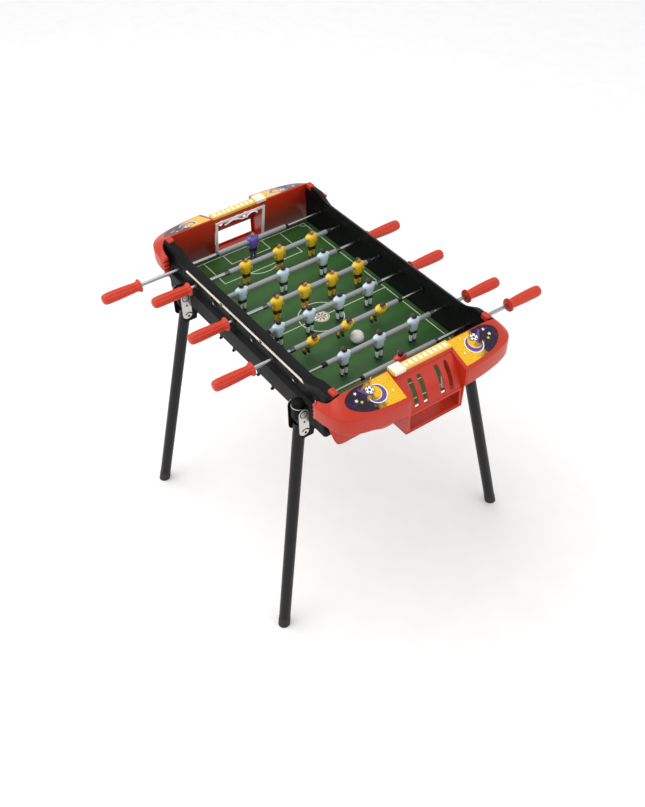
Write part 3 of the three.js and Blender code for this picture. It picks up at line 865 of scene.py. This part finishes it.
def wallTrim():
    trim = Parts()
    long, low, high = wall["strip"], wall["stripLow"], wall["stripHigh"]
    face = -wall["rim"]
    outline = [(-long, low), (long, low), (long - 9, high), (-long + 9, high)]
    trim.add(prism(outline, "Y", face - 0.45, face + 0.5), 0)
    middle = (low + high) / 2
    for x in wall["marks"]:
        diamond = [(x - 9, middle), (x, low + 1), (x + 9, middle), (x, high - 1)]
        trim.add(prism(diamond, "Y", face - 0.7, face), 1)
    for z in (low + 1.1, high - 1.1):
        edge = [(14 - long, z - 0.35), (long - 14, z - 0.35), (long - 14, z + 0.35), (14 - long, z + 0.35)]
        trim.add(prism(edge, "Y", face - 0.6, face), 1)
    for x in wall["lugs"]:
        for y, foot, head in ((1, -7, 8), (-2, -7, -3)):
            y -= wall["rail"]
            trim.add(box((x - 3, y, frameBottom + foot), (x + 3, y + 5, frameBottom + head)), 1)
    for x in wall["screws"]:
        head = turnedY([(0.3, 2.6), (2.6, 2.3), (3.9, 1.0), (4.0, -0.4)], 18)
        place = Matrix.Translation((x + 30, -wall["web"] - 0.2, 727)) @ Matrix.Rotation(halfTurn, 4, "Z")
        trim.add(head, 1, place)
        trim.add(box((-2.8, -0.3, -0.45), (2.8, 2.8, 0.45)), 2, place)
    tones = [finish["cream"], finish["deepBlack"], finish["rubber"]]
    return rounded(trim.make("trim", tones, angle=40), 0.3, 2, 50)


def wallBushes():
    bushes = Parts()
    for rod in rods:
        place = Matrix.Translation((rod["axis"].x, 0, rod["axis"].z))
        bore, flange = (5.75, 10) if rod["side"] < 0 else (7.3, 11)
        outside = [(bore, -228.8), (flange, -228.8), (flange, -230.2), (flange - 2, -231.6), (bore, -231.6)]
        bushes.add(hoop(outside), 0, place)
        if rod["side"] < 0:
            inside = [(5.75, -220.2), (9, -220.2), (9, -219), (7.6, -218.2), (5.75, -218.2)]
            bushes.add(hoop(inside), 0, place)
    return bushes.make("bushes", [finish["deepBlack"]], angle=35)


bracket = {
    "x": 264, "y": -251, "z": 620, "inner": 246.5, "outer": 286.5, "plate": 2.5, "hinge": (27, 80),
    "hingeZ": 652, "hingeThickness": 1.0, "knuckle": 17.5, "knuckleTop": 700, "bolt": 5,
}


def buildBracket(x):
    way = 1 if x > 0 else -1
    parts = Parts()
    sheet, pivotY, pivotZ = bracket["plate"], bracket["y"], bracket["z"]
    corners = [(-268, 602), (-228, 602), (-226, 616), (-208, 618), (-206, 630), (-192, 632), (-192, 643),
               (-229, 643), (-229, 690), (-257, 693), (-268, 679)]
    gusset = fillet(corners, [14, 3, 3, 3, 3, 3, 2, 2, 3, 6, 6], 4)
    inner, outer = bracket["inner"], bracket["outer"]
    for low, high in ((inner - sheet, inner), (outer, outer + sheet)):
        parts.add(prism(gusset, "X", min(low * way, high * way), max(low * way, high * way)), 0)
    a, b = sorted(((inner - sheet) * way, (outer + sheet) * way))
    parts.add(box((a, -262, frameBottom + 2), (b, -236, 676)), 0)
    wide = bracket["knuckle"]
    dome = [(0.2, 0), (9, -0.6), (14, -3), (wide - 0.6, -8), (wide, -12), (wide, -46)]
    head = Matrix.Translation((x, pivotY + 0.8, bracket["knuckleTop"]))
    standing = head @ Matrix.Rotation(halfTurn / 2, 4, "X")
    parts.add(turnedY(dome, 36), 0, standing)
    ring = [(wide + r, y) for r, y in ((-0.5, -13), (0.5, -13), (0.9, -14), (0.5, -15), (-0.5, -15))]
    parts.add(turnedY(ring, 36), 1, standing)

    wide, tall = bracket["hinge"]
    middle, end = (-254, bracket["hingeZ"]), (tall - wide) / 2
    oval = arc((middle[0], middle[1] + end), wide / 2, 0, 180, 16)
    oval += arc((middle[0], middle[1] - end), wide / 2, 180, 360, 16)
    slotOut = arc((pivotY, pivotZ), 12.5, 20, 150, 14) + arc((pivotY, pivotZ), 8.5, 150, 20, 14)
    for face, out in ((outer + sheet, 1), (inner - sheet, -1)):
        base, top = face, face + out * bracket["hingeThickness"]

        def inlay(outline, material, rise):
            low, high = sorted((base * way, (top + out * rise) * way))
            parts.add(prism(outline, "X", low, high), material)

        inlay(oval, 1, 0)
        inlay(circle(wide / 2 - 2.6, 30, (middle[0], middle[1] + end - 1)), 2, 0.12)
        inlay(circle(wide / 2 - 5.2, 30, (middle[0], middle[1] + end - 1)), 1, 0.3)
        inlay(circle(3.2, 24, (middle[0] + 1, middle[1] + 2)), 2, 0.15)
        inlay(slotOut, 2, 0.15)
        inlay(circle(bracket["bolt"] + 1.8, 6, (pivotY, pivotZ)), 1, 0.4)
        inlay(circle(bracket["bolt"] - 1.4, 24, (pivotY, pivotZ)), 2, 0.6)
    return parts


def buildWalls():
    ends = ("left", "right")
    bothHalves(wallBody(), "side_rail", "frame", "cabinet_black", "side_wall_{}", ends)
    bothHalves(raisedEnds(), "rail_ends", "frame", "cabinet_black", "side_wall_{}", ends)
    bothHalves(wallTrim(), "rail_trim", "frame", "cabinet_black", "side_wall_{}", ends)
    bothHalves(wallBushes(), "rod_bushes", "frame", "cabinet_black", "side_wall_{}", ends)
    tones = [finish["black"], finish["plate"], finish["deepBlack"]]
    for x, name in ((bracket["x"], "front"), (-bracket["x"], "rear")):
        piece = rounded(buildBracket(x).make("bracket", tones, angle=35), 0.5, 2, 45)
        bothHalves(piece, f"leg_bracket_{name}", "frame", "cabinet_black", "side_wall_{}", ends)


leg = {"radius": 15, "foot": 15.5, "footLength": 26, "above": 9, "footX": 324, "footY": 365}


# A tube down to the floor, its lower end cut level
def legTube(pivot, foot, radius, start, count=40):
    ahead = (foot - pivot).normalized()
    side = ahead.cross(Vector((1, 0, 0))).normalized()
    up = side.cross(ahead)
    spokes = [(side * c + up * s) * radius for c, s in circle(1, count)]
    rings = [[pivot + ahead * along + spoke * share for spoke in spokes]
             for along, share in ((start, 0.2), (start, 0.93), (start + 1, 1))]
    edge = [pivot + spoke for spoke in spokes]
    rings.append([spot - ahead * (spot.z / ahead.z) for spot in edge])
    return loft(rings)


def buildLegs():
    for end, way in (("near", 1), ("far", -1)):
        for side, out in (("left", -1), ("right", 1)):
            pivot = Vector((bracket["x"] * way, -bracket["y"] * out, bracket["z"]))
            foot = Vector((leg["footX"] * way, leg["footY"] * out, 0))
            length = (foot - pivot).length
            parts = Parts()
            parts.add(legTube(pivot, foot, leg["radius"], -leg["above"]), 0)
            parts.add(legTube(pivot, foot, leg["foot"], length - leg["footLength"]), 1)
            piece = parts.make(f"leg_tube_{end}_{side}", [finish["legPaint"], finish["rubber"]], angle=40)
            belongs(piece, f"leg_{end}_{side}", "leg_black", f"leg_{end}_{side}")


bar = {
    "sleeve": 6.6, "bumper": 6, "field": 14, "keeper": 9, "flutes": 8, "fluteDepth": 1.7, "ringAt": 21.8,
    "inside": 219.6, "outside": 229.4,
    "grip": [(5.1, 0), (15.6, 0), (17.2, -0.7), (18, -2), (17.8, -3.6), (16, -5.6), (13.6, -9), (12.9, -13),
             (13.1, -20), (13.9, -34), (14.6, -52), (15, -74), (14.9, -90), (14.2, -98), (12.4, -103),
             (8.8, -105.6), (3, -106)],
}


def buildRod(rod):
    n, sleeve = rod["number"], rod["sleeve"]
    long = bar["keeper"] if len(rod["places"]) == 1 else bar["field"]
    stand = Vector((rod["axis"].x, rod["shift"], rod["axis"].z))
    turn = Matrix.Rotation(0 if rod["side"] < 0 else halfTurn, 4, "Z")
    place = Matrix.Translation(stand) @ turn
    flange = abs(rod["flange"] - rod["shift"])
    parts = Parts()
    parts.add(turnedY([(4.4, -flange - 90), (5, -flange - 89), (5, -sleeve + 2)], 28), 1, place)
    r, bump = bar["sleeve"], bar["bumper"]
    ends = [(r - 3, sleeve), (r - 0.7, sleeve), (r, sleeve - 1)]
    parts.add(turnedY([(a, -y) for a, y in ends] + ends[::-1], 32), 0, place)
    count = round(long / 3)
    step = long / count
    for sign in (-1, 1):
        ribs = []
        for k in range(count):
            y = sleeve + long * k / count
            ribs += [(bump - 1.5, y), (bump, y + step * 0.25), (bump, y + step * 0.6),
                     (bump - 1.5, y + step * 0.85)]
        ribs.append((bump - 2.4, sleeve + long))
        parts.add(turnedY([(radius, y * sign) for radius, y in ribs], 24), 2, place)
    for y in sorted(-(y - rod["shift"]) * rod["side"] for y, m in rod["places"]):
        for sign in (-1, 1):                        # slim locating rings beside each player
            c = y + sign * bar["ringAt"]
            ring = [(r - 1, c - 1.5), (r + 0.35, c - 1.2), (r + 0.35, c + 1.2), (r - 1, c + 1.5)]
            parts.add(turnedY(ring, 32), 0, place)
    tones = [finish["sleeve"], finish["steel"], finish["rubber"]]
    tube = parts.make(f"rod_{n}_sliding_tube", tones, angle=35)
    belongs(tube, rod["team"], "rod_grey", f"rod_{n}_tube")

    free = abs(rod["coreFree"])
    inside, outside = bar["inside"], bar["outside"]
    core = Parts()
    shape = [(2.6, -free), (3.2, -free + 0.7), (3.2, outside + 4.8), (2.2, outside + 5.4)]
    core.add(turnedY(shape, 24), 0, turn)
    for a, b in ((inside - 4, inside), (outside, outside + 4)):
        collar = [(3, a), (5.9, a), (6.5, a + 0.6), (6.5, b - 0.6), (5.9, b), (3, b)]
        core.add(turnedY(collar, 28), 1, turn)
    shaft = core.make(f"rod_{n}_inner_core", [finish["steel"], finish["deepBlack"]], angle=35)
    shaft.location = Vector((rod["axis"].x, 0, rod["axis"].z)) * mm
    belongs(shaft, rod["core"], "steel", f"rod_{n}_core")

    grip = turnedY(bar["grip"], 96, bar["flutes"], bar["fluteDepth"], (-101, -1.5))
    handle = makePiece(f"rod_{n}_handle", *grip, [finish["gripRed"]], angle=60)
    handle.matrix_world = Matrix.Translation(Vector((stand.x, rod["flange"], stand.z)) * mm) @ turn
    belongs(handle, rod["team"], "grip_red", f"rod_{n}_grip")


# Players, made about the rod axis, facing +X; each kit is shirt, shorts, socks and boots
kits = {
    "yellow": ((0.86, 0.55, 0.012), (0.030, 0.014, 0.010), (0.80, 0.50, 0.02), (0.018, 0.014, 0.012)),
    "blue": ((0.56, 0.72, 0.82), (0.014, 0.018, 0.022), (0.74, 0.82, 0.86), (0.012, 0.020, 0.024)),
    "purple": ((0.115, 0.085, 0.42), (0.018, 0.016, 0.04), (0.10, 0.09, 0.22), (0.02, 0.02, 0.035)),
    "red": ((0.60, 0.030, 0.020), (0.020, 0.015, 0.015), (0.50, 0.03, 0.02), (0.015, 0.015, 0.015)),
}
# Body parts are rings of (z, half width across Y, half depth along X, y, x, squareness); a limb also
# gives its material and the number of sides, and a feature its centre, half size and material
player = {
    "skin": (0.52, 0.25, 0.13), "hair": (0.030, 0.014, 0.008), "headTilt": -20,
    "torso": [(-23, 10.6, 8.2, 0, -0.2, 2.6), (-22, 11.5, 9, 0, -0.2, 2.6), (-14, 11.4, 9.8, 0, 0, 2.6),
              (-6, 12.8, 11, 0, 0.2, 2.7), (1, 15, 11.3, 0, 0.2, 2.7), (6, 15.8, 10.6, 0, 0, 2.6),
              (9.8, 14.2, 8.6, 0, -0.4, 2.4), (12.2, 9.6, 6.4, 0, -0.5, 2.2), (13.8, 5.6, 5, 0, -0.5, 2)],
    "collar": [(12.4, 5.7, 5.3, 0, -0.4, 2), (14.2, 5.2, 4.9, 0, -0.4, 2), (14.6, 4, 3.9, 0, -0.4, 2)],
    "neck": [(12, 3.9, 3.9, 0, -0.3, 2), (15, 3.6, 3.8, 0, -0.2, 2)],
    "limbs": [
        (0, 16, [(-11.5, 3.5, 4.1, 15.5, 1.6, 2.2), (-10.6, 4.2, 4.8, 15.5, 1.5, 2.2),
                 (-3, 4.1, 5.2, 15.7, 0.6, 2.2), (3, 4.3, 5.6, 15.2, 0, 2.2),
                 (8, 4.2, 5.3, 13.6, -0.2, 2.2), (10.4, 2.6, 3.2, 12, -0.3, 2)]),
        (4, 14, [(-19.5, 1.4, 1.8, 14.4, 3.2, 2), (-18.2, 2.8, 3.3, 14.6, 2.9, 2.2),
                 (-14, 2.9, 3.4, 15.1, 2.3, 2.2), (-10.6, 2.8, 3.2, 15.4, 1.7, 2)]),
        (1, 18, [(-35.2, 4.8, 5.8, 5.9, 0.3, 2.4), (-34.4, 5.5, 6.5, 5.9, 0.3, 2.4),
                 (-29, 5.7, 7.3, 5.7, 0.1, 2.4), (-23, 6, 8.2, 5.4, -0.1, 2.4),
                 (-20, 5.6, 7.4, 5, -0.2, 2.2)]),
        (4, 16, [(-39, 3.6, 4.2, 5.9, 0.4, 2), (-36, 4, 4.7, 5.9, 0.4, 2), (-34, 3.8, 4.5, 5.9, 0.4, 2)]),
        (2, 16, [(-57.5, 3.3, 3.4, 5.9, -0.4, 2), (-54.5, 3.3, 3.5, 5.9, -0.4, 2),
                 (-47.5, 4, 4.7, 5.9, -0.4, 2), (-41, 4.2, 4.9, 5.9, 0, 2),
                 (-37.8, 4.4, 5.2, 5.9, 0.3, 2), (-36.6, 3.8, 4.5, 5.9, 0.3, 2)]),
        (3, 20, [(-61.4, 3.8, 7, 6, 2.2, 2.8), (-60.7, 4.1, 7.5, 6, 2.2, 2.6), (-58.8, 4, 7.1, 6, 1.9, 2.3),
                 (-57, 3.8, 5.6, 5.9, 0.8, 2.1), (-55, 3.6, 4.1, 5.9, -0.4, 2),
                 (-54.2, 3.1, 3.4, 5.9, -0.4, 2)]),
    ],
    "features": [((7, 2.6, 19.1), (0.7, 1, 0.65), 5), ((6.5, 2.7, 20.9), (0.9, 1.6, 0.4), 5),
                 ((0.2, 6.9, 18), (1.5, 1, 2), 4)],
}


def limb(rings, count=20, side=1):
    out = []
    for z, wide, deep, y, x, square in rings:
        out.append([(x + px * deep, y * side + py * wide, z) for px, py in circle(1, count, power=square)])
    return loft(out)


def ellipsoid(centre, size, count=20, rows=10, turn=None):
    rings = []
    for j in range(rows + 1):
        b = math.pi * (j / rows - 0.5)
        c, s = max(0.02, math.cos(b)), math.sin(b)
        ring = [Vector((size[0] * c * math.cos(a), size[1] * c * math.sin(a), size[2] * s))
                for a in (2 * math.pi * i / count for i in range(count))]
        rings.append([Vector(centre) + (turn @ v if turn else v) for v in ring])
    return loft(rings)


def figureMesh(kit):
    shirt, shorts, socks, boots = (surface(f"{kit}{part}", tone, 0.34, 1300, 0.08, 0.08, coat=0.25)
                                   for part, tone in zip(("Shirt", "Shorts", "Socks", "Boots"), kits[kit]))
    skin = surface(f"{kit}Skin", player["skin"], 0.42, 1300, 0.06, 0.06)
    hair = surface(f"{kit}Hair", player["hair"], 0.5, 1500, 0.4, 0.2)
    trim = surface(f"{kit}Trim", tuple(c * 0.45 for c in kits[kit][0]), 0.36, 1300, 0.06, 0.06)
    man = Parts()
    man.add(limb(player["torso"]), 0)
    man.add(limb(player["collar"]), 6)
    for side in (-1, 1):
        for material, count, rings in player["limbs"]:
            man.add(limb(rings, count, side), material)
        for (x, y, z), size, material in player["features"]:    # eye, brow and ear
            man.add(ellipsoid((x, y * side, z), size, 10, 6), material)
    man.add(limb(player["neck"], 14), 4)
    man.add(ellipsoid((0.4, 0, 18), (7.3, 6.8, 7.4)), 4)
    man.add(ellipsoid((7.8, 0, 17.4), (1, 0.9, 1.6), 10, 6), 4)
    man.add(ellipsoid((6.9, 0, 14.8), (0.5, 1.8, 0.4), 10, 6), 6)
    tip = Matrix.Rotation(math.radians(player["headTilt"]), 3, "Y")
    man.add(ellipsoid((-1.0, 0, 18.9), (7.6, 7.4, 6.8), 24, 12, tip), 5)
    piece = man.make(f"figure_{kit}", [shirt, shorts, socks, boots, skin, hair, trim], angle=60)
    mesh = piece.data
    bpy.data.objects.remove(piece)
    return mesh


lineUp = {"kits": ("purple", "yellow", "blue", "yellow", "blue", "yellow", "blue", "red"),
          "slots": ("keeper_purple", "player_yellow", "player_blue", "player_yellow", "player_blue",
                    "player_yellow", "player_blue", "keeper_red"),
          "facing": (1, 1, -1, 1, -1, 1, -1, -1), "tilt": (0, 0, 0, 0, 0, 30, 0, 0)}


def buildPlayers():
    meshes = {kit: figureMesh(kit) for kit in kits}
    for rod in rods:
        i = rod["number"] - 1
        kit, slot = lineUp["kits"][i], lineUp["slots"][i]
        for y, node in rod["places"]:
            piece = bpy.data.objects.new(node.replace("player", f"{kit}_figure"), meshes[kit])
            bpy.context.scene.collection.objects.link(piece)
            place = Matrix.Translation(Vector((rod["axis"].x, y, rod["axis"].z)) * mm)
            lean = Matrix.Rotation(math.radians(lineUp["tilt"][i]), 4, "Y")
            facing = Matrix.Rotation(0 if lineUp["facing"][i] > 0 else halfTurn, 4, "Z")
            piece.matrix_world = place @ lean @ facing
            belongs(piece, rod["team"], slot, node)


def buildBall():
    centre, radius = (ballLow + ballHigh) / 2, (ballHigh.z - ballLow.z) / 2
    profile = []
    for j in range(41):
        b = math.pi * (j / 40 - 0.5)
        seam = 0.12 if j == 20 else 0                # moulding seam round the middle
        profile.append((max(0.05, radius * math.cos(b) - seam), radius * math.sin(b)))
    parts = Parts()
    lean = Matrix.Rotation(0.6, 4, "X") @ Matrix.Rotation(0.4, 4, "Z")
    parts.add(turnedY(profile, 56), 0, Matrix.Translation(centre) @ lean)
    belongs(parts.make("game_ball", [finish["ball"]], angle=60), "ball", "ball_white", "ball")


placeCamera()
buildStudio()
print("stage: camera and studio")
buildPitch()
print("stage: pitch")
buildShoulders()
buildRecess()
buildStickers()
buildScore()
buildGoal()
print("stage: end caps and goals")
buildWalls()
print("stage: side walls and brackets")
buildLegs()
for rod in rods:
    buildRod(rod)
print("stage: legs and rods")
buildPlayers()
buildBall()
print("stage: players and ball")
